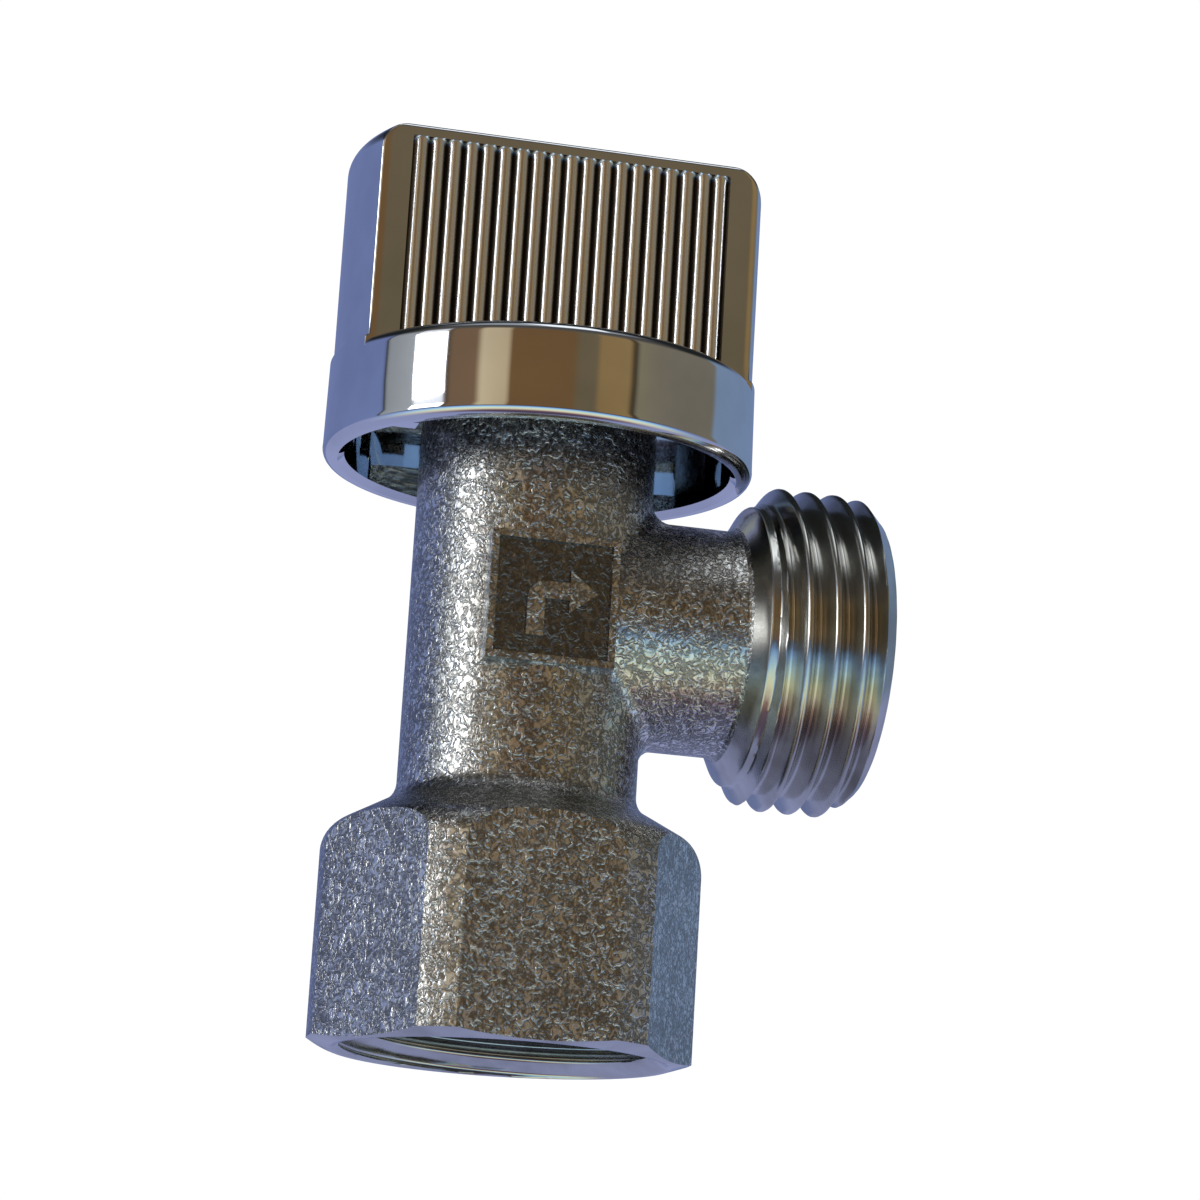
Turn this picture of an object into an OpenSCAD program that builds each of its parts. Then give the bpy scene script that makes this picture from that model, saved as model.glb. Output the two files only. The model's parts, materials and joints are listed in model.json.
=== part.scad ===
// Quarter-turn angle valve with a ported ball, an internal inlet thread below,
// an external outlet thread on the side and a plated bar knob on top.
// The origin is the centre of the inlet mouth. +Z is the spindle axis, +X the outlet.

/* [Inlet end] */
// Height of the outlet axis above the inlet mouth
axis_h = 27.9; // [27:0.1:32]
// Width across the flats of the hexagon
hex_af = 22.2; // [22:0.1:23]
// Diameter that the corners of the hexagon are turned to
hex_corner_d = 24.3; // [23.8:0.1:26]
// Height of the turned bevel under the hexagon corners
hex_bevel_h = 0.45; // [0.2:0.05:1]
// Outer diameter of the flat land round the mouth
mouth_land_d = 21.7; // [21.6:0.1:22]
// Height where the shoulder cone meets the neck
shoulder_h = 16.05; // [15.8:0.05:17]
// Slope of the shoulder cone
shoulder_angle = 29; // [25:1:35]
// Rounding between the hexagon and the shoulder cone
shoulder_round = 2.2; // [1:0.1:3]
// Minor diameter of the inlet thread
inlet_thread_d = 18.631; // [18.4:0.001:18.8]
// Depth of the inlet thread
inlet_thread_depth = 11.2; // [9:0.1:11.6]
// Diameter of the countersink at the mouth
countersink_d = 21.1; // [20:0.1:21.4]

/* [Neck] */
// Diameter of the neck
neck_d = 15.26; // [15:0.02:16]
// Height of the top of the neck above the outlet axis
neck_top_h = 14.1; // [13.7:0.1:15]
// Fillet between the shoulder cone and the neck
neck_fillet = 1.6; // [0.8:0.1:2]
// Chamfer round the top of the neck
neck_chamfer = 0.5; // [0.2:0.1:1]
// Fillet where the branch leaves the neck
branch_fillet = 1.3; // [0.8:0.1:1.8]

/* [Outlet branch] */
// Diameter of the branch
branch_d = 14.8; // [14.2:0.1:15]
// Distance from the spindle axis to the foot of the collar
collar_foot_x = 12.9; // [12.4:0.1:13.2]
// Length of the collar flare
collar_flare = 0.95; // [0.6:0.05:1.1]
// Diameter of the collar after the flare
collar_d = 18.3; // [17.6:0.1:18.6]
// Length of the collar between its flare and the thread
collar_l = 0.5; // [0.3:0.05:0.8]
// Major diameter of the outlet thread
outlet_thread_d = 20.955; // [20.6:0.005:21]
// Distance from the spindle axis to the outlet face
outlet_end_x = 21.9; // [21:0.1:25]
// Axial length of the outlet end chamfer
outlet_chamfer = 1.1; // [0.4:0.1:1.4]
// Diameter of the bore behind the outlet face
outlet_bore_d = 13.2; // [12:0.1:14]

/* [Panel on the front] */
// Side of the square panel
panel_side = 8.2; // [7:0.1:9]
// How far the face of the panel stands out from the front of the neck
panel_face = 0.22; // [0.17:0.01:0.5]
// Width of the raised border
panel_border = 0.45; // [0.3:0.05:0.8]
// Height of the raised border and the flow arrow
panel_relief = 0.25; // [0.15:0.05:0.4]
// Width of the flow arrow's shaft
arrow_w = 1.1; // [0.8:0.1:1.6]

/* [Ball and seats] */
// Diameter of the ball
ball_d = 11.4; // [11:0.1:11.6]
// Diameter of the waterway through the ball and the rings
port_d = 6.4; // [5.6:0.1:6.6]
// Diameter of the ball chamber
chamber_d = 12; // [11.9:0.05:12.2]
// Distance from the ball centre to the front of each seat
seat_front = 4.35; // [4.3:0.05:4.5]
// Distance from the ball centre to the back of each seat
seat_back = 7.6; // [7.2:0.1:7.8]
// Diameter of the bore that holds the outlet seat and its bush
pocket_d = 10.6; // [10.2:0.1:10.8]
// Length of the bush behind the outlet seat
bush_l = 4.8; // [4:0.1:5]
// Diameter of the bore that takes the clamp ring
clamp_bore_d = 12.7; // [12.4:0.1:12.8]
// Length of the clamp ring
clamp_l = 5.2; // [4:0.1:5.6]
// Width across the flats of the key sockets in the rings
key_af = 7.8; // [7.4:0.1:8.2]
// Depth of the key sockets
key_depth = 2.4; // [1.5:0.1:3]

/* [Stem] */
// Diameter of the bore that guides the stem
stem_bore_d = 9; // [8.8:0.1:9.4]
// Diameter of the collar that holds the stem in
stem_collar_d = 10.8; // [10.4:0.1:11.2]
// Thickness of the stem collar
stem_collar_t = 1.1; // [0.8:0.1:1.3]
// Thickness of the thrust washer
thrust_t = 0.6; // [0.4:0.05:0.8]
// Diameter of the stem above the neck
stem_neck_d = 7.4; // [7:0.1:8]
// Diameter over the teeth of the stem spline
spline_d = 6.4; // [6:0.1:6.8]
// Length of the stem spline
spline_l = 6; // [5:0.1:6.2]
// Number of spline teeth
spline_teeth = 20; // [16:1:24]
// Depth of the spline teeth
spline_depth = 0.3; // [0.2:0.05:0.4]
// Section diameter of the stem seal rings
seal_d = 1.32; // [1.1:0.02:1.4]
// Height of each seal groove
seal_groove_h = 1.6; // [1.5:0.05:1.8]
// Land between the two seal grooves
seal_land = 0.9; // [0.6:0.1:1.2]
// Thickness of the tongue that turns the ball
tongue_t = 2.9; // [2.4:0.1:3.2]
// Length of the tongue
tongue_l = 6.8; // [6:0.1:7]
// Depth of the slot in the ball
slot_depth = 1.6; // [1.4:0.1:1.8]

/* [Knob] */
// Height of the knob rim above the outlet axis
knob_rim_h = 10.05; // [9.8:0.05:10.7]
// Height of the knob top above the ledge
knob_top_h = 14.5; // [13:0.1:18]
// Diameter of the knob at the rim
knob_rim_d = 27.85; // [27.6:0.05:28]
// Diameter of the knob at the top
knob_top_d = 27.2; // [27:0.05:27.6]
// Height of the ledge above the top of the neck
ledge_h = 2.1; // [1.8:0.1:3]
// Thickness of the bar between its flats
bar_t = 11.2; // [11:0.1:12]
// Wall thickness of the knob
knob_wall = 1.4; // [1.2:0.05:1.5]
// Thickness of the knob roof
knob_roof = 1.8; // [1.4:0.1:2.2]
// Rounding of the upper edge at the bar ends
knob_top_round = 1.7; // [1:0.1:2]
// Rounding of the lip round the rim
knob_lip_round = 0.65; // [0.4:0.05:0.68]
// Rounding of the ledge's outer edge
ledge_round = 0.7; // [0.4:0.1:0.9]

/* [Knob ribs] */
// Number of grip ribs on each flat
rib_count = 19; // [15:1:20]
// Distance from rib to rib
rib_pitch = 1.1; // [1:0.02:1.12]
// Radius of each rib
rib_r = 0.42; // [0.36:0.01:0.46]
// Depth of the grooves between the ribs
rib_depth = 0.4; // [0.25:0.01:0.45]
// Distance from the knob top to the upper end of the ribs
rib_top_gap = 0.8; // [0.6:0.05:1.5]

/* [Knob fixing] */
// Outer diameter of the hub inside the knob
hub_d = 11.2; // [10.8:0.1:12]
// Width across the flats of the drive insert
insert_af = 8; // [7.8:0.1:8.4]
// Thickness of the floor that the screw clamps
hub_floor = 1.2; // [1:0.1:1.6]
// Diameter of the recess that holds the screw head and the cap
cap_recess_d = 8.4; // [8.2:0.1:8.8]
// Depth of that recess
recess_depth = 4.4; // [4.1:0.1:4.8]
// Thickness of the cap
cap_t = 1.2; // [0.8:0.1:1.4]
// Diameter of the screw shank
screw_d = 3.2; // [3:0.05:3.6]
// Length of the screw shank
screw_l = 10; // [8:0.1:10.5]
// Diameter of the screw head
screw_head_d = 6.6; // [6:0.1:6.9]
// Height of the screw head
screw_head_h = 2; // [1.6:0.1:2.1]
// Thickness of the lock washer
lock_washer_t = 0.8; // [0.6:0.05:0.9]

/* [Quarter-turn stop] */
// Width of the stop lug on the neck
lug_w = 3; // [2.4:0.1:3.6]
// Radial reach of the stop lug from the spindle axis
lug_reach = 10.8; // [10.4:0.1:11.2]
// Height of the stop lug
lug_h = 2; // [1.6:0.1:2.4]
// Thickness of the stop ribs inside the knob
stop_rib_t = 1.4; // [1.2:0.1:1.8]
// Turn between the open and the closed stop
travel = 90; // [90:1:91]

/* [Clearances] */
// Radial clearance of turning parts
run_gap = 0.05; // [0.02:0.01:0.08]
// Clearance of parts that stay put
fit_gap = 0.05; // [0.02:0.01:0.08]
// Clearance left at each stop
stop_gap = 0.15; // [0.1:0.01:0.3]

/* [Hidden] */
$fn = 64;
over = 1;
neck_top = axis_h + neck_top_h;
ledge = neck_top + ledge_h;
knob_top = ledge + knob_top_h;
knob_rim = axis_h + knob_rim_h;
neck_r = neck_d / 2;
branch_r = branch_d / 2;
corner_r = hex_corner_d / 2;
mouth_land_r = mouth_land_d / 2;
inlet_thread_r = inlet_thread_d / 2;
outlet_thread_r = outlet_thread_d / 2;
collar_r = collar_d / 2;
countersink_r = countersink_d / 2;
chamber_r = chamber_d / 2;
clamp_bore_r = clamp_bore_d / 2;
pocket_r = pocket_d / 2;
outlet_bore_r = outlet_bore_d / 2;
collar_x = collar_foot_x + collar_flare;
thread_start_x = collar_x + collar_l;
ball_r = ball_d / 2;
port_r = port_d / 2;
stem_bore_r = stem_bore_d / 2;
shaft_r = stem_bore_r - run_gap;
half_turn = (90 - shoulder_angle) / 2;
drill_slope = 30;
cone_corner_h = shoulder_h - (corner_r - neck_r) * tan(shoulder_angle);
seat_sphere_r = ball_r + run_gap;
ring_port_r = port_r + 0.1;
clamp_top_h = axis_h - seat_back;
tongue_foot_gap = 0.2;
ball_top_gap = 0.4;
collar_foot_h = axis_h + ball_r + ball_top_gap;
collar_top_h = collar_foot_h + stem_collar_t;
thrust_face_h = collar_top_h + thrust_t + run_gap;
seal_gap = 0.02;
seal_outer_r = stem_bore_r - seal_gap;
groove_r = seal_outer_r - seal_d;
lower_groove_h = (thrust_face_h + neck_top - seal_land) / 2 - seal_groove_h;
upper_groove_h = lower_groove_h + seal_groove_h + seal_land;
stem_end_gap = 0.5;
recess_floor_h = knob_top - recess_depth;
hub_floor_h = recess_floor_h - hub_floor;
spline_top_h = hub_floor_h - stem_end_gap;
spline_foot_h = spline_top_h - spline_l;
screw_seat_h = recess_floor_h + lock_washer_t;
screw_clear_r = screw_d / 2 + 0.4;
knob_rim_r = knob_rim_d / 2;
knob_top_r = knob_top_d / 2;
web_under_h = ledge - knob_wall;
roof_under_h = knob_top - knob_roof;
lug_under_h = neck_top - neck_chamfer - lug_h;
stop_rib_inner = neck_r + (lug_reach - neck_r) / 4;
stop_rib_top_h = web_under_h + knob_wall / 2;

function arc(cx, cy, r, from, to, count = 8) =
    [for (i = [0:count]) let (a = from + (to - from) * i / count) [cx + r * cos(a), cy + r * sin(a)]];

// Outer radius of the knob at a height, along the draft of its side
function knob_r_at(h) = knob_rim_r + (knob_top_r - knob_rim_r) * (h - knob_rim) / (knob_top - knob_rim);
function cavity_r_at(h) = knob_r_at(h) - knob_wall;
function wall_middle_r_at(h) = knob_r_at(h) - knob_wall / 2;

// Revolves a profile of [radius, x] points round the outlet axis
module along_outlet() {
    translate([0, 0, axis_h]) rotate([0, 90, 0]) rotate_extrude() children();
}

// A six-sided key with its corners on +X and -X
module hex_bar(af, h) {
    cylinder(r = af / sqrt(3), h = h, $fn = 6);
}

// Outside of the vertical part: mouth, hexagon, shoulder and neck in one turned profile
module turned_outline() {
    polygon(concat(
        [[0, 0], [mouth_land_r, 0], [corner_r, hex_bevel_h]],
        arc(corner_r - shoulder_round, cone_corner_h - shoulder_round * tan(half_turn),
            shoulder_round, 0, 90 - shoulder_angle),
        arc(neck_r + neck_fillet, shoulder_h + neck_fillet * tan(half_turn),
            neck_fillet, 270 - shoulder_angle, 180),
        [[neck_r, neck_top - neck_chamfer], [neck_r - neck_chamfer, neck_top], [0, neck_top]]));
}

// Outside of the branch as [radius, x]: plain tube, flared collar, thread blank and end chamfer
module branch_outline() {
    foot_round = 0.5;
    edge_round = 0.25;
    lean = atan((collar_r - branch_r) / collar_flare);
    foot_reach = foot_round * tan(lean / 2);
    edge_reach = edge_round * tan(lean / 2);
    run_out_slope = 60;
    run_out_x = thread_start_x + (outlet_thread_r - collar_r) / tan(run_out_slope);
    polygon(concat(
        [[0, 0], [branch_r, 0]],
        arc(branch_r + foot_round, collar_foot_x - foot_reach, foot_round, 180, 180 - lean, 3),
        arc(collar_r - edge_round, collar_x + edge_reach, edge_round, -lean, 0, 3),
        [[collar_r, thread_start_x], [outlet_thread_r, run_out_x],
         [outlet_thread_r, outlet_end_x - outlet_chamfer],
         [outlet_thread_r - outlet_chamfer, outlet_end_x], [0, outlet_end_x]]));
}

// Ring of a rolled fillet in the corner between the neck and the branch.
// Each section is an arc about the centre of a ball that touches both cylinders.
module tee_fillet() {
    section_count = 48;
    arc_count = 6;
    dip = 0.03;
    root = branch_fillet / 4;
    depth = branch_fillet + 4 * root;
    reach = min(branch_r, neck_r - dip) + branch_fillet;
    neck_reach = neck_r + branch_fillet;
    function centre(a) = [sqrt(pow(neck_reach, 2) - pow(reach * sin(a), 2)), reach * sin(a), reach * cos(a)];
    function to_neck(a) = let (c = centre(a)) [-c.x, -c.y, 0] / neck_reach;
    function to_branch(a) = [0, -sin(a), -cos(a)];
    function toward(a, t) =
        let (u = to_neck(a), v = to_branch(a), bend = acos(u * v))
        (u * sin((1 - t) * bend) + v * sin(t * bend)) / sin(bend);
    function section(a) =
        let (c = centre(a))
        concat(
            [c + to_neck(a) * depth + to_branch(a) * root],
            [for (i = [0:arc_count])
                let (extra = (i == 0 || i == arc_count) ? dip : 0)
                c + toward(a, i / arc_count) * (branch_fillet + extra)],
            [c + to_branch(a) * depth + to_neck(a) * root]);
    ring_count = arc_count + 3;
    rings = [for (i = [0:section_count - 1]) section(i * 360 / section_count)];
    points = [for (ring = rings) for (p = ring) p];
    faces = [for (i = [0:section_count - 1]) for (j = [0:ring_count - 1])
        let (a = i * ring_count, b = ((i + 1) % section_count) * ring_count, k = (j + 1) % ring_count)
        each [[a + j, a + k, b + j], [a + k, b + k, b + j]]];
    translate([0, 0, axis_h]) polyhedron(points, faces, convexity = 6);
}

// All the waterways in the vertical part, from the mouth to the top of the neck
module vertical_bore() {
    countersink_h = (countersink_r - inlet_thread_r) * tan(drill_slope);
    taper_h = (inlet_thread_r - clamp_bore_r) * tan(drill_slope);
    top_chamfer = 0.3;
    rotate_extrude() polygon([
        [0, -over], [countersink_r, -over], [countersink_r, 0],
        [inlet_thread_r, countersink_h], [inlet_thread_r, inlet_thread_depth],
        [clamp_bore_r, inlet_thread_depth + taper_h], [clamp_bore_r, clamp_top_h],
        [chamber_r, clamp_top_h], [chamber_r, thrust_face_h],
        [stem_bore_r, thrust_face_h], [stem_bore_r, neck_top - top_chamfer],
        [stem_bore_r + top_chamfer, neck_top], [stem_bore_r + top_chamfer, neck_top + over],
        [0, neck_top + over]]);
}

module outlet_bore() {
    mouth_chamfer = 0.4;
    along_outlet() polygon([
        [0, 0], [pocket_r, 0], [pocket_r, collar_x], [outlet_bore_r, collar_x],
        [outlet_bore_r, outlet_end_x - mouth_chamfer],
        [outlet_bore_r + mouth_chamfer, outlet_end_x], [outlet_bore_r + mouth_chamfer, outlet_end_x + over],
        [0, outlet_end_x + over]]);
}

// Bent arrow from the inlet below to the outlet on the right, drawn in the panel's own plane
module flow_arrow() {
    left = -panel_side * 0.2;
    foot = -panel_side * 0.3;
    bend = panel_side * 0.06;
    tip = panel_side * 0.34;
    head_r = arrow_w * 1.25;
    head_x = tip - arrow_w * 1.6;
    polygon(concat(
        [[left, foot], [left + arrow_w, foot], [left + arrow_w, bend - arrow_w / 2],
         [head_x, bend - arrow_w / 2], [head_x, bend - head_r], [tip, bend],
         [head_x, bend + head_r], [head_x, bend + arrow_w / 2]],
        arc(left + arrow_w, bend - arrow_w / 2, arrow_w, 90, 180, 6)));
}

module panel() {
    half = panel_side / 2;
    face_y = -neck_r - panel_face;
    foot_y = -sqrt(pow(neck_r, 2) - pow(half, 2)) + panel_border;
    translate([-half, face_y, axis_h - half]) cube([panel_side, foot_y - face_y, panel_side]);
    translate([0, face_y + panel_border, axis_h]) rotate([90, 0, 0])
        linear_extrude(panel_relief + panel_border) {
            difference() {
                square(panel_side, center = true);
                square(panel_side - 2 * panel_border, center = true);
            }
            flow_arrow();
        }
}

// Lug at the back of the neck that the knob's two ribs run against
module stop_lug() {
    foot = neck_r - lug_w / 2;
    translate([-lug_w / 2, foot, lug_under_h]) cube([lug_w, lug_reach - foot, lug_h]);
}

module valve_body() {
    color("silver") difference() {
        union() {
            intersection() {
                rotate_extrude() turned_outline();
                hex_bar(hex_af, neck_top);
            }
            along_outlet() branch_outline();
            tee_fillet();
            panel();
            stop_lug();
        }
        vertical_bore();
        outlet_bore();
    }
}

module thrust_washer() {
    color("white") translate([0, 0, collar_top_h + run_gap / 2]) difference() {
        cylinder(r = chamber_r - fit_gap, h = thrust_t);
        translate([0, 0, -over]) cylinder(r = stem_bore_r, h = thrust_t + 2 * over);
    }
}

// Ring with a hollow face against the ball, whose centre is at the origin
module seat(outer_r) {
    land = 0.25;
    face_r = sqrt(pow(seat_sphere_r, 2) - pow(seat_front, 2)) + land;
    difference() {
        rotate_extrude() polygon([
            [ring_port_r, seat_front], [face_r, seat_front], [outer_r, seat_front + outer_r - face_r],
            [outer_r, seat_back], [ring_port_r, seat_back]]);
        sphere(r = seat_sphere_r);
    }
}

module inlet_seat() {
    color("ivory") translate([0, 0, axis_h]) mirror([0, 0, 1]) seat(chamber_r - fit_gap);
}

module outlet_seat() {
    color("ivory") translate([0, 0, axis_h]) rotate([0, 90, 0]) seat(pocket_r - fit_gap);
}

// Screwed ring with a key socket, standing on z = 0 with its socket below
module keyed_ring(outer_r, length) {
    edge = 0.3;
    difference() {
        rotate_extrude() polygon([[0, 0], [outer_r - edge, 0], [outer_r, edge], [outer_r, length - edge],
                                  [outer_r - edge, length], [0, length]]);
        translate([0, 0, -over]) cylinder(r = ring_port_r, h = length + 2 * over);
        translate([0, 0, -over]) hex_bar(key_af, key_depth + over);
    }
}

module clamp_ring() {
    color("goldenrod") translate([0, 0, clamp_top_h - fit_gap - clamp_l])
        keyed_ring(clamp_bore_r - fit_gap, clamp_l);
}

module outlet_bush() {
    color("goldenrod") translate([seat_back + fit_gap + bush_l, 0, axis_h]) rotate([0, -90, 0])
        keyed_ring(pocket_r - fit_gap, bush_l);
}

// Ball with one port below and one to the outlet, and a slot on top across the outlet
module ball() {
    color("lightgray") translate([0, 0, axis_h]) difference() {
        sphere(r = ball_r);
        translate([0, 0, -ball_d]) cylinder(r = port_r, h = ball_d);
        rotate([0, 90, 0]) cylinder(r = port_r, h = ball_d);
        translate([-tongue_t / 2 - fit_gap, -ball_r, ball_r - slot_depth])
            cube([tongue_t + 2 * fit_gap, ball_d, slot_depth + over]);
    }
}

function spline_points(outer_r, depth) =
    [for (i = [0:2 * spline_teeth - 1])
        let (r = i % 2 == 0 ? outer_r : outer_r - depth, a = i * 180 / spline_teeth)
        [r * cos(a), r * sin(a)]];

module stem() {
    stem_neck_r = stem_neck_d / 2;
    edge = 0.3;
    tongue_foot_h = axis_h + ball_r - slot_depth + tongue_foot_gap;
    tap_spare = 1;
    tap_depth = screw_l - (screw_seat_h - spline_top_h) + tap_spare;
    color("goldenrod") difference() {
        union() {
            rotate_extrude() polygon([
                [0, collar_foot_h], [stem_collar_d / 2, collar_foot_h], [stem_collar_d / 2, collar_top_h],
                [shaft_r, collar_top_h], [shaft_r, lower_groove_h],
                [groove_r, lower_groove_h], [groove_r, lower_groove_h + seal_groove_h],
                [shaft_r, lower_groove_h + seal_groove_h], [shaft_r, upper_groove_h],
                [groove_r, upper_groove_h], [groove_r, upper_groove_h + seal_groove_h],
                [shaft_r, upper_groove_h + seal_groove_h], [shaft_r, neck_top - edge],
                [stem_neck_r, neck_top], [stem_neck_r, spline_foot_h], [0, spline_foot_h]]);
            translate([0, 0, spline_foot_h])
                linear_extrude(spline_l) polygon(spline_points(spline_d / 2, spline_depth));
            translate([-tongue_t / 2, -tongue_l / 2, tongue_foot_h])
                cube([tongue_t, tongue_l, collar_top_h - tongue_foot_h]);
        }
        translate([0, 0, spline_top_h - tap_depth]) cylinder(r = screw_d / 2 + fit_gap, h = tap_depth + over);
    }
}

module seal_ring(groove_h) {
    color("dimgray") translate([0, 0, groove_h + seal_groove_h / 2])
        rotate_extrude() translate([seal_outer_r - seal_d / 2, 0]) circle(d = seal_d, $fn = 32);
}

module lower_seal_ring() {
    seal_ring(lower_groove_h);
}

module upper_seal_ring() {
    seal_ring(upper_groove_h);
}

// Outside of the knob as if it were round all the way up
module knob_outline() {
    lip = knob_lip_round;
    polygon(concat(
        [[0, knob_rim]],
        arc(knob_rim_r - lip, knob_rim + lip, lip, -90, 0, 6),
        arc(knob_r_at(knob_top - knob_top_round) - knob_top_round, knob_top - knob_top_round,
            knob_top_round, 0, 90),
        [[0, knob_top]]));
}

// What is cut away beside the bar, down to the rounded ledge
module beside_bar() {
    r = knob_r_at(ledge);
    reach = knob_rim_d;
    intersection() {
        rotate_extrude() polygon(concat(
            [[0, ledge]],
            arc(r - ledge_round, ledge - ledge_round, ledge_round, 90, 0, 6),
            [[reach, ledge - ledge_round], [reach, knob_top + over], [0, knob_top + over]]));
        for (side = [-1, 1]) scale([1, side, 1])
            translate([-reach, bar_t / 2, ledge - over]) cube([2 * reach, reach, knob_top]);
    }
}

// Grooves cut into one flat of the bar, with round ribs left standing between them
module rib_grooves() {
    first = -(rib_count - 1) / 2 * rib_pitch;
    width = rib_count * rib_pitch;
    height = knob_top - rib_top_gap - ledge;
    difference() {
        translate([-width / 2, bar_t / 2 - rib_depth, ledge]) cube([width, rib_depth + over, height]);
        for (i = [0:rib_count - 1])
            translate([first + i * rib_pitch, bar_t / 2 - rib_r, ledge - over])
                cylinder(r = rib_r, h = height + 2 * over, $fn = 16);
    }
}

// Cavity of the knob: round inside the skirt, then a slot inside the bar
module knob_hollow() {
    lip = 0.4;
    end_step = 0.3;
    mouth_r = cavity_r_at(knob_rim) + lip;
    slot_half = bar_t / 2 - knob_wall;
    rotate_extrude() polygon([
        [0, knob_rim - over], [mouth_r, knob_rim - over], [mouth_r, knob_rim],
        [cavity_r_at(knob_rim + lip), knob_rim + lip],
        [cavity_r_at(web_under_h), web_under_h], [0, web_under_h]]);
    intersection() {
        rotate_extrude() polygon([
            [0, knob_rim], [cavity_r_at(knob_rim) - end_step, knob_rim],
            [cavity_r_at(roof_under_h) - end_step, roof_under_h], [0, roof_under_h]]);
        translate([-knob_rim_r, -slot_half, knob_rim]) cube([knob_rim_d, 2 * slot_half, knob_top]);
    }
}

// Rib inside the knob that lies flat against the +X side of the stop lug
module stop_rib() {
    translate([lug_w / 2 + stop_gap, stop_rib_inner, lug_under_h])
        cube([stop_rib_t, wall_middle_r_at(web_under_h) - stop_rib_inner, stop_rib_top_h - lug_under_h]);
}

// Solid core that carries the stem insert, the screw and the cap
module hub() {
    hub_top_h = knob_top - knob_roof / 2;
    sunk_t = bar_t - knob_wall;
    intersection() {
        translate([0, 0, spline_foot_h]) cylinder(r = hub_d / 2, h = hub_top_h - spline_foot_h);
        translate([-hub_d, -sunk_t / 2, 0]) cube([2 * hub_d, sunk_t, knob_top]);
    }
}

// Web along the middle of the bar, from one end wall to the other through the hub
module hub_web() {
    web_t = 1.2;
    web_foot_h = spline_foot_h + web_t;
    web_h = knob_top - knob_roof / 2 - web_foot_h;
    reach = wall_middle_r_at(web_foot_h + web_h / 2);
    translate([-reach, -web_t / 2, web_foot_h]) cube([2 * reach, web_t, web_h]);
}

module knob() {
    color("gainsboro") difference() {
        union() {
            difference() {
                rotate_extrude() knob_outline();
                beside_bar();
                rib_grooves();
                mirror([0, 1, 0]) rib_grooves();
                knob_hollow();
            }
            hub();
            hub_web();
            stop_rib();
            rotate([0, 0, travel]) mirror([1, 0, 0]) stop_rib();
        }
        translate([0, 0, spline_foot_h - over]) hex_bar(insert_af + 2 * fit_gap, hub_floor_h - spline_foot_h + over);
        translate([0, 0, hub_floor_h - over]) cylinder(r = screw_clear_r, h = hub_floor + 2 * over);
        translate([0, 0, recess_floor_h]) cylinder(r = cap_recess_d / 2, h = knob_top);
    }
}

module drive_insert() {
    color("khaki") translate([0, 0, spline_foot_h]) difference() {
        hex_bar(insert_af, hub_floor_h - spline_foot_h);
        translate([0, 0, -over]) linear_extrude(spline_l + 3 * over)
            polygon(spline_points(spline_d / 2 + fit_gap, spline_depth));
    }
}

// Split spring washer under the screw head
module lock_washer() {
    slit = 0.5;
    margin = 0.1;
    outer_r = screw_head_d / 2 - margin;
    color("silver") translate([0, 0, recess_floor_h]) difference() {
        cylinder(r = outer_r, h = lock_washer_t);
        translate([0, 0, -over]) cylinder(r = screw_clear_r, h = lock_washer_t + 2 * over);
        translate([0, -slit / 2, -over]) cube([outer_r + over, slit, lock_washer_t + 2 * over]);
    }
}

module knob_screw() {
    head_r = screw_head_d / 2;
    drive_w = 0.9;
    drive_l = 3.6;
    drive_depth = 1.1;
    point = 0.4;
    head_round = 0.9;
    screw_foot_h = screw_seat_h - screw_l;
    screw_top_h = screw_seat_h + screw_head_h;
    color("silver") difference() {
        rotate_extrude() polygon(concat(
            [[0, screw_foot_h], [screw_d / 2 - point, screw_foot_h],
             [screw_d / 2, screw_foot_h + point], [screw_d / 2, screw_seat_h], [head_r, screw_seat_h]],
            arc(head_r - head_round, screw_top_h - head_round, head_round, 0, 90, 6),
            [[0, screw_top_h]]));
        for (turn = [0, 90]) rotate([0, 0, turn])
            translate([-drive_l / 2, -drive_w / 2, screw_top_h - drive_depth])
                cube([drive_l, drive_w, drive_depth + over]);
    }
}

// Plain snap-in cap over the screw
module knob_cap() {
    outer_r = cap_recess_d / 2 - fit_gap;
    skirt_t = 0.6;
    skirt_r = outer_r - skirt_t;
    edge = 0.25;
    skirt_foot_h = recess_floor_h + fit_gap;
    color("gainsboro") rotate_extrude() polygon([
        [skirt_r, skirt_foot_h], [outer_r, skirt_foot_h], [outer_r, knob_top - edge],
        [outer_r - edge, knob_top], [0, knob_top], [0, knob_top - cap_t], [skirt_r, knob_top - cap_t]]);
}

valve_body();
thrust_washer();
inlet_seat();
clamp_ring();
outlet_seat();
outlet_bush();
stem();
lower_seal_ring();
upper_seal_ring();
ball();
knob();
drive_insert();
lock_washer();
knob_screw();
knob_cap();
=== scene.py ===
import bpy
import bmesh
import json
from math import atan2, ceil, cos, hypot, pi, radians, sin, sqrt, tan
from mathutils import Matrix, Vector

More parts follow.
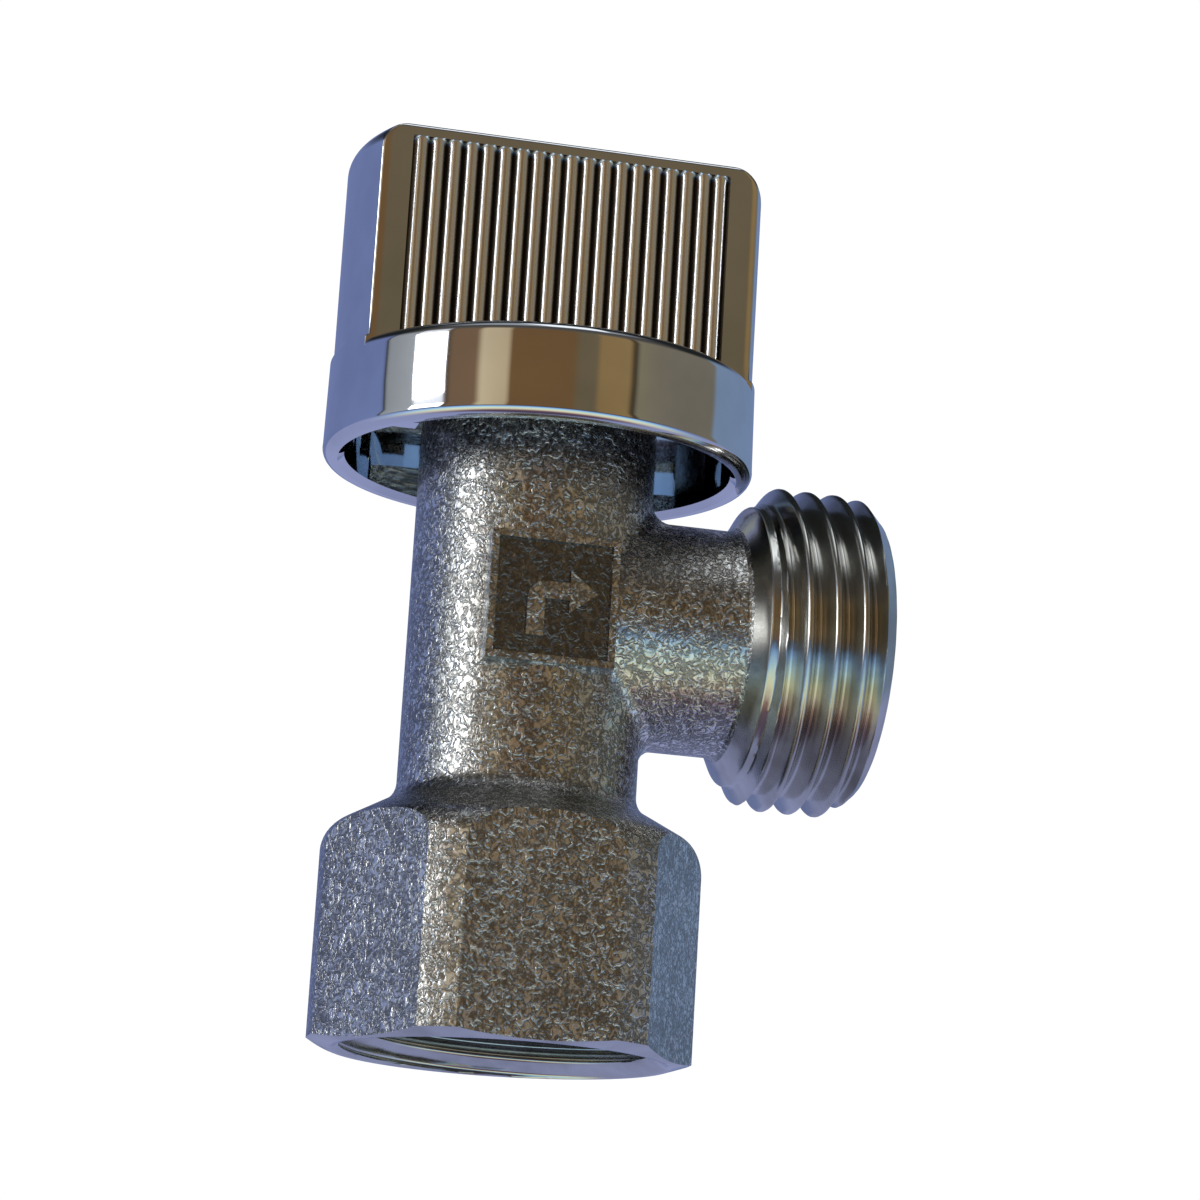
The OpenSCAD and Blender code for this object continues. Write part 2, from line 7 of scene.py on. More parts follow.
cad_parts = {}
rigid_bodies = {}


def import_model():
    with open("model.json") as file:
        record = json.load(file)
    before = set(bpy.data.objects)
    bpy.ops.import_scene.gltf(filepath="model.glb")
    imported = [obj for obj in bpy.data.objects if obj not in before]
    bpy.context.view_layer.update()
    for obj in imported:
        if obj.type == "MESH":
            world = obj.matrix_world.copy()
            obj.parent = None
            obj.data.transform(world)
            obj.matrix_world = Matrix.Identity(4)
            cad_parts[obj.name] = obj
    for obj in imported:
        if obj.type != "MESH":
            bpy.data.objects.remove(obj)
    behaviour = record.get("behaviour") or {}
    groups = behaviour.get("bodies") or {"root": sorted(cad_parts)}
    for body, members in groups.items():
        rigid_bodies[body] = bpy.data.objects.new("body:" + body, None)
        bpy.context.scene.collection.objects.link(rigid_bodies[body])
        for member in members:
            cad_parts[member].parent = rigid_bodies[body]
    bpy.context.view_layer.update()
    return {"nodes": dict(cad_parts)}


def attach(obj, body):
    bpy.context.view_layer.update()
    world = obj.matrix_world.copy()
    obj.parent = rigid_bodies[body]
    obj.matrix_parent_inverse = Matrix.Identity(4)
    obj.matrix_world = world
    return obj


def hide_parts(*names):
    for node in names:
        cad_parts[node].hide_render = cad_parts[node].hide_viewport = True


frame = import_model()
cadNodes = frame["nodes"]
mm = 0.001
print("frame loaded,", len(cadNodes), "solids")

# Camera: where the photograph was taken from, in mm and degrees
cameraSetup = {
    "target": (4.696, 0, 30.02), "azimuth": -12.264, "elevation": -13.151,
    "roll": 3.425, "distance": 247.264, "lens": 114.894, "sensor": 36,
}


def addCamera(setup):
    azimuth, elevation, roll = (radians(setup[k]) for k in ("azimuth", "elevation", "roll"))
    back = Vector((sin(azimuth) * cos(elevation), -cos(azimuth) * cos(elevation), sin(elevation)))
    right = (-back).cross(Vector((0, 0, 1))).normalized()
    up = right.cross(-back)
    across = right * cos(roll) + up * sin(roll)
    upward = up * cos(roll) - right * sin(roll)
    data = bpy.data.cameras.new("camera")
    data.lens, data.sensor_width, data.clip_start = setup["lens"], setup["sensor"], 0.01
    camera = bpy.data.objects.new("camera", data)
    bpy.context.collection.objects.link(camera)
    place = Vector(setup["target"]) + back * setup["distance"]
    turn = Matrix((across, upward, back)).transposed().to_4x4()
    camera.matrix_world = Matrix.Translation(place * mm) @ turn
    bpy.context.scene.camera = camera


addCamera(cameraSetup)
bpy.context.scene.view_settings.view_transform = "Standard"
print("camera placed")


# Shader maths: a Signal is one socket, and adding or multiplying signals adds the Math nodes
class Signal:
    def __init__(self, graph, socket):
        self.graph, self.socket = graph, socket

    def maths(self, operation, *values):
        sockets = {i: value for i, value in enumerate(values)}
        return self.graph.add("ShaderNodeMath", {"operation": operation}, sockets)

    def __add__(self, other): return self.maths("ADD", self, other)
    def __radd__(self, other): return self.maths("ADD", other, self)
    def __sub__(self, other): return self.maths("SUBTRACT", self, other)
    def __rsub__(self, other): return self.maths("SUBTRACT", other, self)
    def __mul__(self, other): return self.maths("MULTIPLY", self, other)
    def __rmul__(self, other): return self.maths("MULTIPLY", other, self)
    def __truediv__(self, other): return self.maths("DIVIDE", self, other)
    def __abs__(self): return self.maths("ABSOLUTE", self)
    def atLeast(self, other): return self.maths("MAXIMUM", self, other)

    def between(self, low, high):  # 0 at low, 1 at high, eased in between
        settings = {"interpolation_type": "SMOOTHSTEP"}
        sockets = {"Value": self, "From Min": low, "From Max": high}
        return self.graph.add("ShaderNodeMapRange", settings, sockets)


class Graph:
    def __init__(self, tree):
        self.tree = tree
        tree.nodes.clear()

    def add(self, kind, settings=None, sockets=None, out=0):
        node = self.tree.nodes.new(kind)
        for name, value in (settings or {}).items():
            if name == "stops":
                self.setStops(node.color_ramp, value)
            else:
                setattr(node, name, value)
        for name, value in (sockets or {}).items():
            if isinstance(value, Signal):
                self.tree.links.new(value.socket, node.inputs[name])
            else:
                node.inputs[name].default_value = value
        return Signal(self, node.outputs[out]) if len(node.outputs) else node

    def setStops(self, ramp, stops):
        while len(ramp.elements) < len(stops):
            ramp.elements.new(1)
        for element, (place, colour) in zip(ramp.elements, stops):
            element.position, element.color = place, colour

    def ramp(self, value, stops):
        return self.add("ShaderNodeValToRGB", {"stops": stops}, {"Fac": value})

    def blend(self, share, first, second):  # colours
        sockets = {0: share, 6: first, 7: second}
        return self.add("ShaderNodeMix", {"data_type": "RGBA"}, sockets, out=2)

    def noise(self, place, scale, detail=2, rough=0.5, distortion=0):
        sockets = {"Vector": place, "Scale": scale, "Detail": detail,
                   "Roughness": rough, "Distortion": distortion}
        return self.add("ShaderNodeTexNoise", None, sockets)

    def axes(self, place):
        node = self.add("ShaderNodeSeparateXYZ", None, {"Vector": place}).socket.node
        return [Signal(self, socket) for socket in node.outputs]


def paint(red, green, blue):  # a colour as seen on screen, 0 to 255, turned linear
    def linear(value):
        value /= 255
        return value / 12.92 if value <= 0.04045 else ((value + 0.055) / 1.055) ** 2.4
    return linear(red), linear(green), linear(blue), 1


# Studio: surroundings that the plated surfaces mirror, soft lamps and a pale floor
studio = {
    "facing": 258.8,  # direction from the valve to the camera, in degrees
    "gain": 1.35,
    "pale": (0.93, 0.93, 0.93, 1),
    "floorHeight": -0.35, "floorSide": 12,
    # (degrees from the camera, left is negative, colour)
    "around": [
        (-180, (98, 110, 152)), (-94.5, (106, 120, 164)), (-93, (28, 30, 38)), (-91, (136, 142, 146)),
        (-73, (150, 156, 160)), (-71, (236, 240, 248)), (-55, (228, 232, 240)), (-53, (62, 50, 40)),
        (-50, (108, 88, 68)), (-36, (112, 90, 70)), (-33, (184, 170, 140)), (-19, (172, 156, 126)),
        (-17, (104, 80, 52)), (16, (104, 80, 52)), (19, (98, 88, 68)), (28, (98, 88, 68)),
        (31, (128, 106, 70)), (47, (132, 110, 74)),
        (50, (34, 30, 24)), (53, (118, 112, 92)), (70, (112, 106, 94)), (105, (108, 104, 92)),
        (108, (112, 132, 158)), (150, (106, 126, 156)), (180, (98, 110, 152)),
    ],
    # (sine of the height over the horizon, colour), in front and behind
    "below": [
        (-1, (74, 66, 86)), (-0.90, (84, 70, 88)), (-0.84, (128, 96, 84)), (-0.74, (190, 182, 170)),
        (-0.60, (218, 222, 178)), (-0.42, (176, 214, 226)), (-0.24, (120, 160, 214)), (-0.10, (44, 42, 50)),
        (-0.02, (40, 32, 28)),
    ],
    "behindBelow": (132, 140, 178), "behindAbove": (30, 33, 34),
    "overhead": [(0.42, (88, 82, 76)), (0.8, (66, 66, 66)), (0.88, (150, 156, 164)), (1, (160, 166, 174))],
    # (name, place and target in metres, side, watts, colour)
    "lamps": [
        ("windowLamp", (-0.94, -0.27, 0.23), (0, 0, 0.03), 0.33, 1.5, (0.9, 0.95, 1)),
        ("skyLamp", (0.1, -0.3, 1.2), (0, 0, 0.03), 0.5, 0.8, (0.9, 0.95, 1)),
    ],
}


def buildSurroundings(setup):
    world = bpy.data.worlds.new("studio")
    bpy.context.scene.world = world
    world.use_nodes = True
    g = Graph(world.node_tree)
    direction = g.add("ShaderNodeTexCoord", out=0)
    x, y, z = g.axes(direction)
    turn = radians(setup["facing"])
    toward = x * cos(turn) + y * sin(turn)
    across = y * cos(turn) - x * sin(turn)
    heading = across.maths("ARCTAN2", across, toward) / (2 * pi) + 0.5
    around = g.ramp(heading, [((a + 180) / 360, paint(*c)) for a, c in setup["around"]])
    below = g.ramp(z * 0.5 + 0.5, [(h * 0.5 + 0.5, paint(*c)) for h, c in setup["below"]])
    sideways = abs(heading - 0.5).between(0.14, 0.32)
    below = g.blend(sideways, below, paint(*setup["behindBelow"]))
    overhead = g.ramp(z, [(h, paint(*c)) for h, c in setup["overhead"]])
    above = g.blend(toward.between(-0.15, 0.35), paint(*setup["behindAbove"]), overhead)
    colour = g.blend(z.between(-0.09, -0.04), below, around)
    colour = g.blend(z.between(0.42, 0.62), colour, above)
    seen = g.add("ShaderNodeLightPath", out=0)
    light = g.add("ShaderNodeBackground", None, {"Color": colour, "Strength": setup["gain"]})
    plain = g.add("ShaderNodeBackground", None, {"Color": setup["pale"], "Strength": 1.1})
    mixed = g.add("ShaderNodeMixShader", None, {0: seen, 1: light, 2: plain})
    g.add("ShaderNodeOutputWorld", None, {"Surface": mixed})


def addLamp(name, place, target, side, energy, colour):
    data = bpy.data.lights.new(name, "AREA")
    data.size, data.energy, data.color = side, energy, colour
    lamp = bpy.data.objects.new(name, data)
    bpy.context.collection.objects.link(lamp)
    place, target = Vector(place), Vector(target)
    turn = (place - target).to_track_quat("Z", "Y").to_matrix().to_4x4()
    lamp.matrix_world = Matrix.Translation(place) @ turn


def buildFloor(setup):
    bm = bmesh.new()
    bmesh.ops.create_grid(bm, x_segments=1, y_segments=1, size=setup["floorSide"] / 2)
    bmesh.ops.translate(bm, verts=bm.verts, vec=(0, 0, setup["floorHeight"]))
    mesh = bpy.data.meshes.new("floor")
    bm.to_mesh(mesh)
    floor = bpy.data.objects.new("floor", mesh)
    bpy.context.collection.objects.link(floor)
    material = bpy.data.materials.new("palePaper")
    material.use_nodes = True
    g = Graph(material.node_tree)
    glow = g.add("ShaderNodeEmission", None, {"Color": setup["pale"], "Strength": 1.1})
    g.add("ShaderNodeOutputMaterial", None, {"Surface": glow})
    mesh.materials.append(material)
    floor.visible_glossy = floor.visible_diffuse = floor.visible_shadow = False


buildSurroundings(studio)
buildFloor(studio)
for lamp in studio["lamps"]:
    addLamp(*lamp)
print("studio lit")


# Knob: one skin drawn up level by level from the rim, round below and a ribbed bar above
knobSizes = {
    "rim": 37.95, "top": 58.6, "ledge": 44.1, "rimR": 13.925, "topR": 13.6, "lipRound": 0.65,
    "ledgeRound": 0.7, "topRound": 1.7, "halfBar": 5.6, "edgeRound": 0.3, "cornerRound": 0.28,
    "ribCount": 19, "ribPitch": 1.1, "ribDepth": 0.4, "ribTop": 57.8, "ribEnd": 0.55,
    "marginX": 11.84, "marginSteps": 4, "endSteps": 72, "cornerSteps": 4, "crease": 40,
    # (distance from the middle of a rib, share of the depth)
    "ribShape": ((0, 0), (0.15, 0.07), (0.27, 0.24), (0.36, 0.5), (0.43, 0.77), (0.55, 1)),
}


# Materials
def newMaterial(name, fill):
    material = bpy.data.materials.new(name)
    material.use_nodes = True
    g = Graph(material.node_tree)
    place = g.add("ShaderNodeTexCoord", out=3)
    sockets = fill(g, place)
    shader = g.add("ShaderNodeBsdfPrincipled", None, sockets)
    g.add("ShaderNodeOutputMaterial", None, {"Surface": shader})
    return material


def bump(g, height, distance, strength=1.0):
    return g.add("ShaderNodeBump", None, {"Height": height, "Distance": distance, "Strength": strength})


# Where shade is painted onto the floor of the panel's recess, in mm
panelRecess = {"floorY": -7.85, "reliefY": -8.1, "half": 4.1, "height": 27.9, "edge": 0.25}


def panelShadeMask(g, place):  # 1 on the floor of the panel, 0 on its border, its arrow and elsewhere
    x, y, z = g.axes(place)
    s = panelRecess
    deep = y.between(s["reliefY"] * mm, s["floorY"] * mm)
    near = (0 - y).between((-s["floorY"] - 0.12) * mm, (-s["floorY"] - 0.02) * mm)
    reach, edge = s["half"] * mm, s["edge"] * mm
    across = 1 - abs(x).between(reach, reach + edge)
    upright = 1 - abs(z - s["height"] * mm).between(reach, reach + edge)
    return deep * near * across * upright


def blastedNickel(g, place):
    recessShade = panelShadeMask(g, place)
    cell = g.noise(place, 2000, 2, 0.55, 1.1)
    worm = (1 - abs(cell - 0.5) * 6).atLeast(0)
    fine = g.noise(place, 6000, 1, 0.5)
    height = cell * 1.6 - worm * 0.5 + fine * 0.15
    blotch = g.noise(place, 260, 3, 0.6)
    grime = (worm * 0.75 + blotch * 0.45).between(0.15, 1)
    colour = g.blend(grime, paint(238, 237, 232), paint(138, 135, 129))
    # painted shade: the floor of the panel's recess is blended towards dark grey, standing in for shade in the
    # recess
    colour = g.blend(recessShade * 0.8, colour, paint(92, 90, 86))
    return {"Base Color": colour, "Metallic": 1.0, "Roughness": fine * 0.14 + 0.2,
            "Normal": bump(g, height, 0.000045)}


def turnedNickel(g, place):
    lines = g.noise(place, 900, 2, 0.6)
    blotch = g.noise(place, 180, 3, 0.6)
    colour = g.blend(blotch.between(0.3, 0.75), paint(214, 212, 206), paint(176, 172, 164))
    return {"Base Color": colour, "Metallic": 1.0, "Roughness": blotch * 0.14 + 0.12,
            "Normal": bump(g, lines, 0.00001)}


def mirrorChrome(g, place):
    blotch = g.noise(place, 130, 3, 0.6)
    wave = g.noise(place, 90, 1, 0.4)
    colour = g.blend(blotch.between(0.3, 0.8), paint(226, 226, 228), paint(206, 206, 208))
    return {"Base Color": colour, "Metallic": 1.0, "Roughness": blotch * 0.05 + 0.02,
            "Normal": bump(g, wave, 0.00001)}


def satinChrome(g, place):
    grain = g.noise(place, 3200, 2, 0.6)
    blotch = g.noise(place, 300, 3, 0.6)
    x, _, _ = g.axes(place)
    turns = x / (knobSizes["ribPitch"] * mm)
    groove = abs(turns - turns.maths("ROUND", turns)) * 2
    # painted shade: the base colour goes dark between the ribs, standing in for shade in the grooves
    grooveShade = (groove + blotch * 0.15).between(0.55, 1)
    colour = g.blend(grooveShade, paint(236, 236, 236), paint(74, 72, 70))
    return {"Base Color": colour, "Metallic": 1.0, "Roughness": blotch * 0.12 + 0.2,
            "Normal": bump(g, grain, 0.000008)}


def turnedBrass(g, place):
    blotch = g.noise(place, 300, 3, 0.6)
    grain = g.noise(place, 4000, 2, 0.5)
    colour = g.blend(blotch.between(0.3, 0.8), paint(206, 172, 98), paint(170, 134, 70))
    return {"Base Color": colour, "Metallic": 1.0, "Roughness": blotch * 0.2 + 0.22,
            "Normal": bump(g, grain, 0.000008)}


def sealRubber(g, place):
    grain = g.noise(place, 3000, 2, 0.6)
    colour = g.blend(grain, paint(24, 24, 25), paint(44, 43, 42))
    return {"Base Color": colour, "Roughness": grain * 0.25 + 0.45, "Normal": bump(g, grain, 0.00001)}


def seatPlastic(g, place):
    grain = g.noise(place, 1500, 2, 0.6)
    colour = g.blend(grain, paint(226, 224, 214), paint(242, 241, 236))
    return {"Base Color": colour, "Roughness": grain * 0.2 + 0.35, "Normal": bump(g, grain, 0.000006)}


def zincSteel(g, place):
    blotch = g.noise(place, 500, 3, 0.6)
    colour = g.blend(blotch, paint(182, 184, 186), paint(132, 134, 138))
    return {"Base Color": colour, "Metallic": 1.0, "Roughness": blotch * 0.25 + 0.22,
            "Normal": bump(g, blotch, 0.00001)}


finishes = {fill.__name__: newMaterial(fill.__name__, fill) for fill in (
    blastedNickel, turnedNickel, mirrorChrome, satinChrome, turnedBrass, sealRubber, seatPlastic, zincSteel)}
print("materials made")


def creaseEdges(bm, limitAt):  # smooth all over, but sharp where the bend passes the limit there
    for face in bm.faces:
        face.smooth = True
    for edge in bm.edges:
        middle = (edge.verts[0].co + edge.verts[1].co) / 2
        edge.smooth = edge.calc_face_angle(0) < radians(limitAt(middle))


def finishPiece(name, bm, body, slot, materials, *replaced):
    mesh = bpy.data.meshes.new(name)
    bm.to_mesh(mesh)
    bm.free()
    for material in materials:
        mesh.materials.append(finishes[material])
    piece = bpy.data.objects.new(name, mesh)
    bpy.context.collection.objects.link(piece)
    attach(piece, body)
    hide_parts(*replaced)
    print(name, "made,", len(mesh.polygons), "faces")


def mergedCopy(node):  # a CAD node's mesh in mm, with its loose triangles joined
    bm = bmesh.new()
    bm.from_mesh(cadNodes[node].data)
    bmesh.ops.scale(bm, vec=(1 / mm,) * 3, verts=bm.verts)
    bmesh.ops.remove_doubles(bm, verts=bm.verts, dist=0.001)
    for face in bm.faces:
        face.material_index = 0
    return bm


def openEdges(bm, test):  # open edges whose middle passes a test
    return [e for e in bm.edges if e.is_boundary and test((e.verts[0].co + e.verts[1].co) / 2)]


# Pipe threads: a 55 degree profile, spun up the pitch, with its crests and roots rounded
threadForm = {"pitch": 1.814, "majorR": 10.4775, "minorR": 9.3155, "flankAngle": 27.5,
              "rounding": 0.2491, "stepsPerTurn": 128}


def threadSheet(form, low, high, phase, limit):
    bm = bmesh.new()
    pitch, half = form["pitch"], radians(form["flankAngle"])
    middleR = (form["majorR"] + form["minorR"]) / 2
    peak = pitch / 4 / tan(half)
    turns = ceil((high - low) / pitch) + 2
    start = low - pitch * 1.5 + phase
    heights = [(0, middleR), (pitch / 4, middleR + peak), (3 * pitch / 4, middleR - peak), (pitch, middleR)]
    points = [bm.verts.new((r, 0, start + h)) for h, r in heights]
    for a, b in zip(points, points[1:]):
        bm.edges.new((a, b))
    bmesh.ops.bevel(bm, geom=points[1:3], offset=form["rounding"] / tan(half), offset_type="OFFSET",
                    segments=5, profile=0.5, affect="VERTICES", material=-1)
    longEdges = [e for e in bm.edges if e.calc_length() > 0.3]
    bmesh.ops.subdivide_edges(bm, edges=longEdges, cuts=3)
    longest = [e for e in bm.edges if e.calc_length() > 0.19]
    bmesh.ops.subdivide_edges(bm, edges=longest, cuts=1)
    steps = form["stepsPerTurn"]
    bmesh.ops.spin(bm, geom=bm.verts[:] + bm.edges[:], cent=(0, 0, 0), axis=(0, 0, 1),
                   dvec=(0, 0, pitch / steps), angle=2 * pi * turns, steps=steps * turns)
    bmesh.ops.remove_doubles(bm, verts=bm.verts, dist=0.002)
    for vert in bm.verts:
        r = hypot(vert.co.x, vert.co.y)
        wanted = limit(r, vert.co.z)
        vert.co.x *= wanted / r
        vert.co.y *= wanted / r
    for height, outward in ((low, -1), (high, 1)):
        bmesh.ops.bisect_plane(bm, geom=bm.verts[:] + bm.edges[:] + bm.faces[:], dist=1e-4,
                               plane_co=(0, 0, height), plane_no=(0, 0, outward), clear_outer=True)
    for face in bm.faces:
        face.material_index = 1
    return bm


def addTo(bm, other):  # joins another bmesh into this one
    mesh = bpy.data.meshes.new("joined")
    other.to_mesh(mesh)
    other.free()
    bm.from_mesh(mesh)
    bpy.data.meshes.remove(mesh)


# Body: the forging with its two threads cut
bodySizes = {
    "axisHeight": 27.9, "collarCut": 14.1, "threadStart": 14.35, "collarR": 9.15, "outletEnd": 21.9,
    "runOutSlope": 60, "chamferStart": 20.75, "endR": 9.3, "mouthR": 10.55, "sinkSlope": 30,
    "inletDepth": 11.2, "outletPhase": 0.75, "inletPhase": 0.2, "machinedBelow": 0.46, "machinedPast": 13.1,
    "forgedCrease": 14, "threadCrease": 45,
    "seam": 0.06,  # width of the strips that join the threads to the CAD's faces
}


def buildBody(s):
    bm = mergedCopy("valve_body")
    axis = s["axisHeight"]

    def fromOutlet(p):
        return hypot(p.y, p.z - axis)

    rim = [f for f in bm.faces if f.calc_center_median().x > 13.9 and fromOutlet(f.calc_center_median()) > 7.6]
    around = list({v for f in rim for v in f.verts}) + list({e for f in rim for e in f.edges}) + rim
    bmesh.ops.bisect_plane(bm, geom=around, dist=1e-4, plane_co=(s["collarCut"], 0, 0), plane_no=(1, 0, 0))
    gone = []
    for face in bm.faces:
        p = face.calc_center_median()
        outlet = p.x > s["collarCut"] and fromOutlet(p) > 7.1
        inlet = p.z < s["inletDepth"] - 0.001 and hypot(p.x, p.y) < s["mouthR"] - 0.06
        if outlet or inlet:
            gone.append(face)
        else:
            inside = hypot(p.x, p.y) < 7.5 or p.z < 14 and hypot(p.x, p.y) < 10.6
            branchBore = fromOutlet(p) < 7.2 and p.x > 7
            machined = p.z < s["machinedBelow"] or p.x > s["machinedPast"] or inside or branchBore
            face.material_index = int(machined)
    bmesh.ops.delete(bm, geom=gone, context="FACES")

    form = threadForm
    runOut = tan(radians(s["runOutSlope"]))
    chamfer = (form["majorR"] - s["endR"]) / (s["outletEnd"] - s["chamferStart"])

    def outletLimit(r, x):
        rise = s["collarR"] + max(0, x - s["threadStart"]) * runOut
        fall = s["endR"] + max(0, s["outletEnd"] - x) * chamfer
        return min(r, rise, fall)

    def inletLimit(r, h):
        sink = s["mouthR"] - max(0, h) / tan(radians(s["sinkSlope"]))
        return max(min(r, form["minorR"] + max(0, s["inletDepth"] - h) * runOut), sink)

    outlet = threadSheet(form, s["threadStart"], s["outletEnd"], s["outletPhase"], outletLimit)
    bmesh.ops.transform(outlet, matrix=Matrix.Rotation(pi / 2, 4, "Y"), verts=outlet.verts)
    bmesh.ops.translate(outlet, verts=outlet.verts, vec=(0, 0, axis))
    inlet = threadSheet(form, s["seam"], s["inletDepth"] - s["seam"], s["inletPhase"], inletLimit)
    addTo(bm, outlet)
    addTo(bm, inlet)
    before = set(bm.faces)
    seams = (lambda p: 14 < p.x < 14.5, lambda p: p.x > 21.8,
             lambda p: p.z < 0.2, lambda p: abs(p.z - s["inletDepth"]) < 0.2 and p.x < 11)
    for seam in seams:
        bmesh.ops.bridge_loops(bm, edges=openEdges(bm, seam))
    for face in set(bm.faces) - before:
        face.material_index = 1
    print("open edges left on the body:", len(openEdges(bm, lambda p: True)))
    bmesh.ops.recalc_face_normals(bm, faces=bm.faces)

    def bendLimit(p):
        threaded = p.x > s["collarCut"] or p.z < s["inletDepth"] and hypot(p.x, p.y) < s["mouthR"]
        return s["threadCrease"] if threaded else s["forgedCrease"]

    creaseEdges(bm, bendLimit)
    bmesh.ops.scale(bm, vec=(mm,) * 3, verts=bm.verts)
    finishPiece("valveBody", bm, "body", "nickel_brass", ("blastedNickel", "turnedNickel"), "valve_body")


buildBody(bodySizes)




def ribColumns(s):  # places across one flat, each with its share of the rib depth
    half = s["ribShape"]
    columns = []
    for i in range(s["ribCount"]):
        middle = (i - (s["ribCount"] - 1) / 2) * s["ribPitch"]
        columns += [(middle - u, d) for u, d in reversed(half[1:])] + [(middle + u, d) for u, d in half[:-1]]
    columns.append((s["ribCount"] * s["ribPitch"] / 2, 1))
    edge = s["ribCount"] * s["ribPitch"] / 2
    steps = s["marginSteps"]
    margin = [(edge + 0.06 + (s["marginX"] - edge - 0.06) * i / steps, 0) for i in range(steps + 1)]
    return [(-x, d) for x, d in reversed(margin)] + columns + margin


def knobLoop(s, columns, z, frontR, endR, bar, depth):
    # One level of the skin as (x, y) points, anticlockwise from the front right corner
    corner = s["cornerRound"] * min(1, max(0, (z - s["ledge"] + s["ledgeRound"]) / 1.2))
    cornerX = sqrt(endR ** 2 - bar ** 2)
    shrink = min(1, (cornerX - 0.35) / s["marginX"])
    # the corner's rounding touches the bar's flat and the end wall from inside
    cy = bar - corner
    cx = sqrt((endR - corner) ** 2 - cy ** 2)
    touch = atan2(cy, cx)
    quarter = []
    steps = s["endSteps"] // 2
    for i in range(steps + 1):
        a = touch * i / steps
        quarter.append((endR * cos(a), endR * sin(a)))
    for i in range(1, s["cornerSteps"] + 1):
        a = touch + (pi / 2 - touch) * i / s["cornerSteps"]
        quarter.append((cx + corner * cos(a), cy + corner * sin(a)))
    if frontR is None:
        flat = [(x * shrink, bar - d * depth) for x, d in reversed(columns)]
    else:
        first = atan2(s["halfBar"], sqrt(frontR ** 2 - s["halfBar"] ** 2))
        span = pi - 2 * first
        flat = [(frontR * cos(first + span * i / (len(columns) - 1)),
                 frontR * sin(first + span * i / (len(columns) - 1))) for i in range(len(columns))]
    half = quarter + flat + [(-x, y) for x, y in reversed(quarter)]
    return half[:-1] + [(-x, -y) for x, y in half][:-1]


def knobLevels(s):
    def sideR(z):
        return s["rimR"] + (s["topR"] - s["rimR"]) * (z - s["rim"]) / (s["top"] - s["rim"])

    levels = []
    lip = s["lipRound"]
    for i in range(9):
        a = -pi / 2 + pi / 2 * i / 8
        z = s["rim"] + lip + lip * sin(a)
        r = s["rimR"] - lip + lip * cos(a)
        levels.append((z, r, r, s["halfBar"], 0))
    low = s["ledge"] - s["ledgeRound"]
    for z in (s["rim"] + lip + 0.12, (s["rim"] + low) / 2, low - 0.12, low):
        levels.append((z, sideR(z), sideR(z), s["halfBar"], 0))
    for i in range(1, 7):
        a = pi / 2 * i / 6
        z = low + s["ledgeRound"] * sin(a)
        levels.append((z, sideR(low) - s["ledgeRound"] * (1 - cos(a)), sideR(z), s["halfBar"], 0))
    levels.append((s["ledge"], None, sideR(s["ledge"]), s["halfBar"], s["ribDepth"]))
    roundLow = s["top"] - s["topRound"]
    heights = [s["ledge"] + 0.15, 46, 49, 52, 55, roundLow - 0.15]
    heights += [roundLow + s["topRound"] * sin(pi / 2 * i / 10) for i in range(11)]
    heights += [s["top"] - s["edgeRound"] * (1 - sin(pi / 2 * i / 5)) for i in range(5)]
    heights += [s["ribTop"] - s["ribEnd"] * (1 - sin(pi / 2 * i / 5)) for i in range(6)]
    heights = sorted(heights)
    kept = [heights[0]]
    for z in heights[1:]:
        if z - kept[-1] > 0.012:
            kept.append(z)
    kept[-1] = s["top"]
    for z in kept:
        over = max(0, z - roundLow) / s["topRound"]
        endR = sideR(roundLow) - s["topRound"] * (1 - sqrt(max(0, 1 - over * over)))
        lift = max(0, z - s["top"] + s["edgeRound"]) / s["edgeRound"]
        barY = s["halfBar"] - s["edgeRound"] * (1 - sqrt(max(0, 1 - lift * lift)))
        near = (z - s["ribTop"] + s["ribEnd"]) / s["ribEnd"]
        depth = s["ribDepth"] * sqrt(max(0, 1 - max(0, near) ** 2)) if near < 1 else 0
        levels.append((z, None, endR, barY, depth))
    return levels


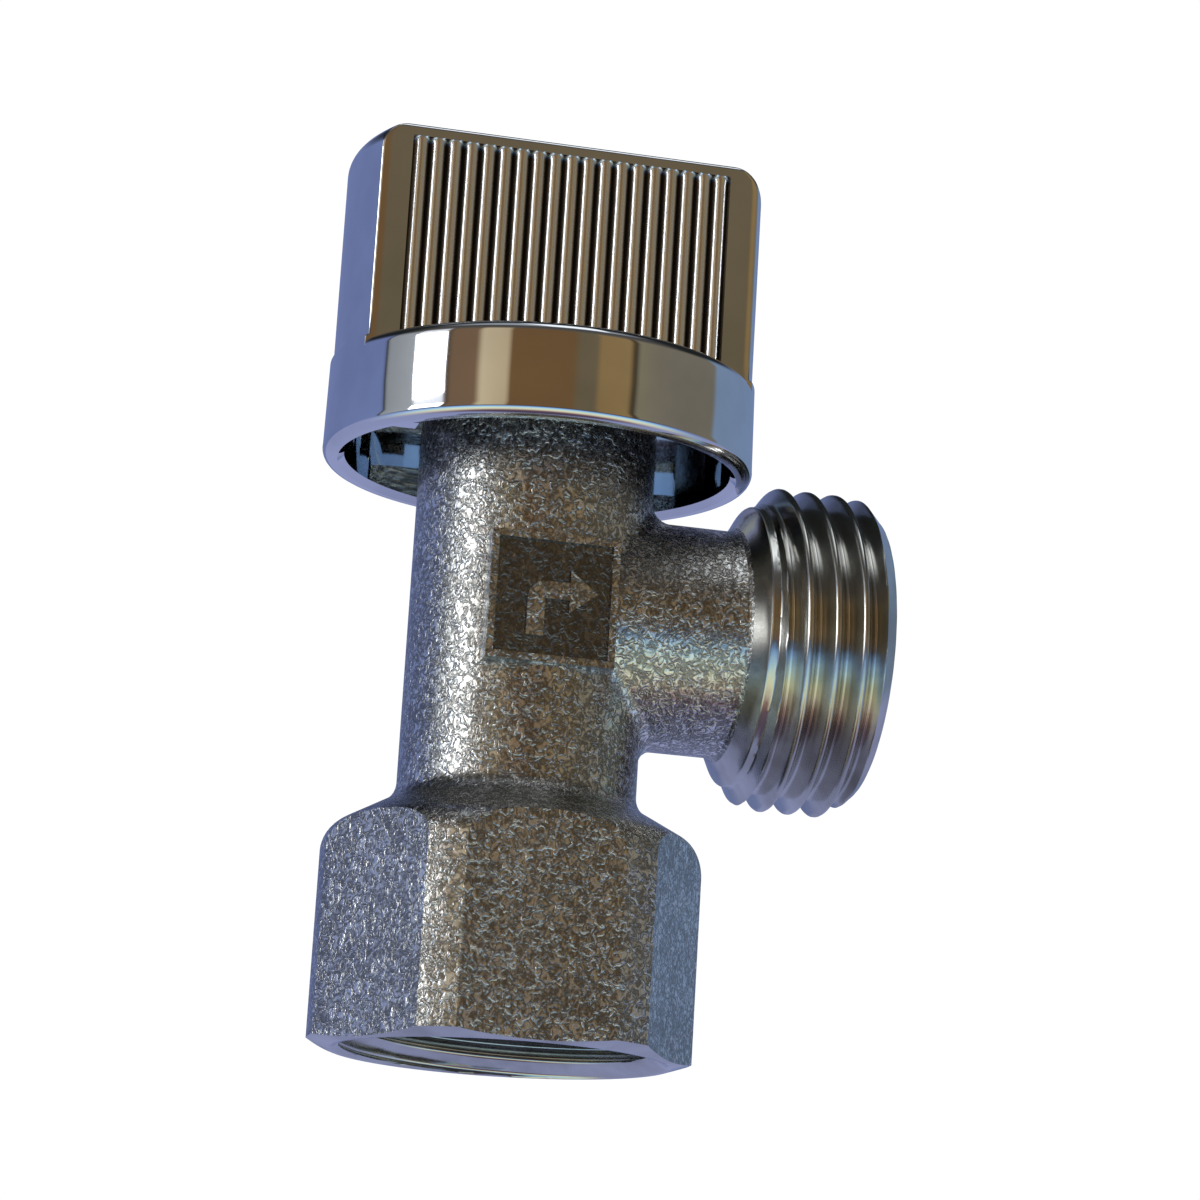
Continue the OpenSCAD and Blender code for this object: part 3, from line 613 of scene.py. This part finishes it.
def buildKnob(s):
    columns = ribColumns(s)
    levels = knobLevels(s)
    points = [[Vector((x, y, level[0])) for x, y in knobLoop(s, columns, *level)] for level in levels]
    bm = bmesh.new()
    bmesh.ops.create_circle(bm, segments=len(points[0]), radius=s["rimR"])
    ring = bm.verts[:]
    edges = bm.edges[:]
    for vert, place in zip(ring, points[0]):
        vert.co = place
    for row in points[1:]:
        made = bmesh.ops.extrude_edge_only(bm, edges=edges)["geom"]
        edges = [e for e in made if isinstance(e, bmesh.types.BMEdge) and e.is_boundary]
        fresh = {v for v in made if isinstance(v, bmesh.types.BMVert)}
        ring = [next(e.other_vert(v) for e in v.link_edges if e.other_vert(v) in fresh) for v in ring]
        for vert, place in zip(ring, row):
            vert.co = place
    inner = mergedCopy("knob")
    gone = []
    for face in inner.faces:
        p = face.calc_center_median()
        r = hypot(p.x, p.y)
        barSide = abs(p.y) > 4.9 and p.z > 43.5
        crown = r > 11.5 and p.z > s["top"] - s["topRound"] - 0.05
        if r > 12.95 or barSide or crown or p.z > s["top"] - 0.005 or p.z < s["rim"] + 0.001:
            gone.append(face)
    bmesh.ops.delete(inner, geom=gone, context="FACES")
    for face in bm.faces:
        p = face.calc_center_median()
        face.material_index = int(p.z > s["ledge"] + 0.01 and abs(p.x) < s["ribCount"] * s["ribPitch"] / 2
                                  and abs(p.y) > 4.9 and p.z < s["ribTop"])
    addTo(bm, inner)
    bmesh.ops.remove_doubles(bm, verts=bm.verts, dist=0.0005)
    rimEdges = openEdges(bm, lambda p: p.z < s["rim"] + 0.001)
    topEdges = openEdges(bm, lambda p: p.z > s["top"] - 0.001)
    bmesh.ops.bridge_loops(bm, edges=rimEdges)
    bmesh.ops.triangle_fill(bm, use_beauty=True, use_dissolve=False, edges=topEdges)
    print("open edges left on the knob:", len(openEdges(bm, lambda p: True)))
    bmesh.ops.recalc_face_normals(bm, faces=bm.faces)
    creaseEdges(bm, lambda p: s["crease"])
    bmesh.ops.scale(bm, vec=(mm,) * 3, verts=bm.verts)
    finishPiece("barKnob", bm, "handle", "plated_plastic", ("mirrorChrome", "satinChrome"), "knob")


buildKnob(knobSizes)


# Solids that stay as the CAD made them, with their finishes
kept = {
    "knob_cap": "mirrorChrome", "ball": "mirrorChrome", "stem": "turnedBrass", "drive_insert": "turnedBrass",
    "clamp_ring": "turnedBrass", "outlet_bush": "turnedBrass", "thrust_washer": "seatPlastic",
    "inlet_seat": "seatPlastic", "outlet_seat": "seatPlastic", "lower_seal_ring": "sealRubber",
    "upper_seal_ring": "sealRubber", "lock_washer": "zincSteel", "knob_screw": "zincSteel",
}
for node, finish in kept.items():
    cadNodes[node].material_slots[0].material = finishes[finish]
print("finishes set on", len(kept), "solids")
